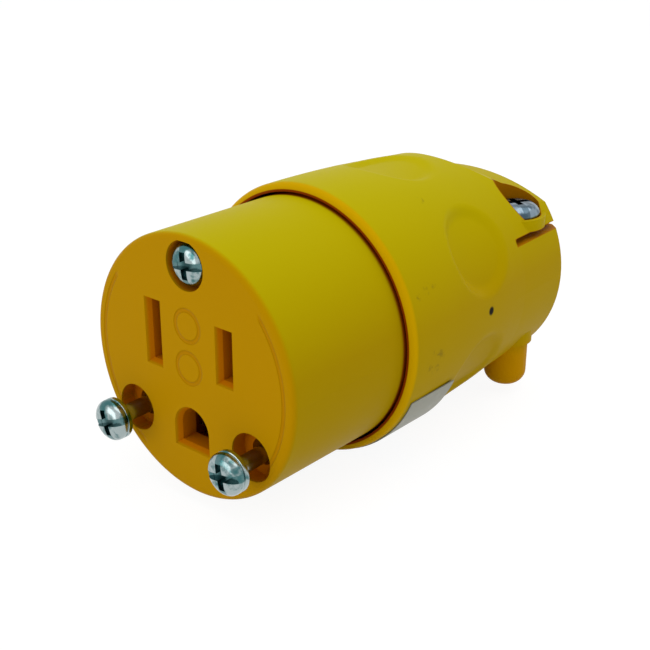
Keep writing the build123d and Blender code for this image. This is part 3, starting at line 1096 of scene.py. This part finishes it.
class CONNECTOR_OT_label(bpy.types.Operator):
    """Finish the blank sticker on the collar"""

    bl_idname = "connector.label"
    bl_label = "Finish Label"

    def execute(self, context):
        dress(LABEL, make_label("Blank Sticker", STICKER_COLOUR))
        return {"FINISHED"}


class CONNECTOR_OT_stage(bpy.types.Operator):
    """Set up the white floor, the soft light and the camera of the photo"""

    bl_idname = "connector.stage"
    bl_label = "Set Up Stage"

    def execute(self, context):
        settings = context.scene.connector_stage
        make_world(context.scene, settings)
        make_floor(settings)
        add_area_light("Key", KEY_PLACE, KEY_SIDE, settings.key, settings.key_colour)
        add_area_light("Front", FRONT_PLACE, FRONT_SIDE, settings.front, settings.front_colour)
        make_camera(context.scene)
        return {"FINISHED"}


def seen_plainly(tree):
    """1 for what the camera sees, also in metal or through glass, and 0 for what only gives light."""
    ray = add_node(tree, "ShaderNodeLightPath").outputs
    seen = math_node(tree, "MAXIMUM", ray["Is Camera Ray"], ray["Is Glossy Ray"])
    return math_node(tree, "MAXIMUM", seen, ray["Is Transmission Ray"])


def mix_shaders(tree, output, factor, first, second):
    """Send a blend of two shaders to the output."""
    mix = add_node(tree, "ShaderNodeMixShader", {0: factor, 1: first.outputs[0], 2: second.outputs[0]})
    tree.links.new(mix.outputs[0], output.inputs["Surface"])


def make_world(scene, settings):
    """Even light, with a white background where the camera, metal or glass sees it."""
    world = bpy.data.worlds.new("Studio")
    scene.world = world
    world.use_nodes = True
    tree = world.node_tree
    tree.nodes.clear()
    sky_colour = opaque(settings.sky_colour)
    even = add_node(tree, "ShaderNodeBackground", {"Color": sky_colour, "Strength": settings.sky})
    white = add_node(tree, "ShaderNodeBackground", {"Color": WHITE, "Strength": 1.0})
    output = add_node(tree, "ShaderNodeOutputWorld")
    mix_shaders(tree, output, seen_plainly(tree), even, white)


def make_floor(settings):
    """White table top at the height of the feet."""
    level = cad_box[0][2]
    half = FLOOR_HALF
    mesh = bpy.data.meshes.new("Floor")
    corners = [(-half, -half, level), (half, -half, level), (half, half, level), (-half, half, level)]
    mesh.from_pydata(corners, [], [(0, 1, 2, 3)])
    floor = link_object("Floor", mesh)
    material, tree, output = new_material("White Table")
    paper = add_node(tree, "ShaderNodeBsdfDiffuse", {"Color": PAPER_WHITE})
    white = add_node(tree, "ShaderNodeEmission", {"Color": WHITE, "Strength": settings.floor_white})
    share = times(tree, seen_plainly(tree), 1.0 - settings.floor_shadow)
    mix_shaders(tree, output, share, paper, white)
    mesh.materials.append(material)


def add_area_light(name, place, side, power, colour):
    """Square soft light aimed at the middle of the part."""
    data = bpy.data.lights.new(name, "AREA")
    data.shape = "SQUARE"
    data.size = side
    data.energy = power
    data.color = colour[:3]
    lamp = link_object(name, data)
    direction = Vector(LAMP_AIM) - Vector(place)
    lamp.matrix_world = Matrix.Translation(place) @ direction.to_track_quat("-Z", "Y").to_matrix().to_4x4()


def make_camera(scene):
    """Camera at the photo's place, with the photo's framing."""
    data = bpy.data.cameras.new("Camera")
    data.sensor_fit = "HORIZONTAL"
    data.sensor_width = 36.0
    data.lens = FOCAL_PIXELS * data.sensor_width / PHOTO_PIXELS
    data.clip_start = 0.005
    data.clip_end = 30.0
    camera = link_object("Camera", data)
    back = (Vector(CAMERA_PLACE) - Vector(CAMERA_AIM)).normalized()
    right = Vector((0, 0, 1)).cross(back).normalized()
    up = back.cross(right)
    roll = math.radians(CAMERA_ROLL)
    side = math.cos(roll) * right + math.sin(roll) * up
    over = math.cos(roll) * up - math.sin(roll) * right
    camera.matrix_world = Matrix.Translation(CAMERA_PLACE) @ Matrix((side, over, back)).transposed().to_4x4()
    scene.camera = camera
    scene.view_settings.view_transform = "Standard"


class CONNECTOR_PT_panel(bpy.types.Panel):
    """Lists what makes up the connector"""

    bl_idname = "CONNECTOR_PT_panel"
    bl_label = "Cord Connector"
    bl_space_type = "VIEW_3D"
    bl_region_type = "UI"
    bl_category = "Connector"

    def draw(self, context):
        scene = context.scene
        for name, operators in SECTIONS:
            box = self.layout.box()
            for operator in operators:
                box.operator(operator)
            settings = getattr(scene, name, None)
            if settings is not None:
                for key in settings.__annotations__:
                    box.prop(settings, key)


SETTINGS = (
    ("connector_mouldings", MouldingSettings),
    ("connector_assembly_screws", AssemblyScrewSettings),
    ("connector_clamp_screws", ClampScrewSettings),
    ("connector_terminal_screws", TerminalScrewSettings),
    ("connector_stage", StageSettings),
)

SECTIONS = (
    ("connector_mouldings", ("connector.mouldings", "connector.contacts", "connector.label")),
    ("connector_assembly_screws", ("connector.screws",)),
    ("connector_clamp_screws", ()),
    ("connector_terminal_screws", ()),
    ("connector_stage", ("connector.stage",)),
)

CLASSES = (
    CONNECTOR_OT_mouldings,
    CONNECTOR_OT_contacts,
    CONNECTOR_OT_screws,
    CONNECTOR_OT_label,
    CONNECTOR_OT_stage,
    CONNECTOR_PT_panel,
)


def register():
    for name, group in SETTINGS:
        bpy.utils.register_class(group)
        setattr(bpy.types.Scene, name, bpy.props.PointerProperty(type=group))
    for entry in CLASSES:
        bpy.utils.register_class(entry)


def unregister():
    for entry in reversed(CLASSES):
        bpy.utils.unregister_class(entry)
    for name, group in reversed(SETTINGS):
        delattr(bpy.types.Scene, name)
        bpy.utils.unregister_class(group)


def main():
    """Make the whole part."""
    register()
    bpy.ops.connector.mouldings()
    bpy.ops.connector.contacts()
    bpy.ops.connector.screws()
    bpy.ops.connector.label()
    bpy.ops.connector.stage()


if __name__ == "__main__":
    main()
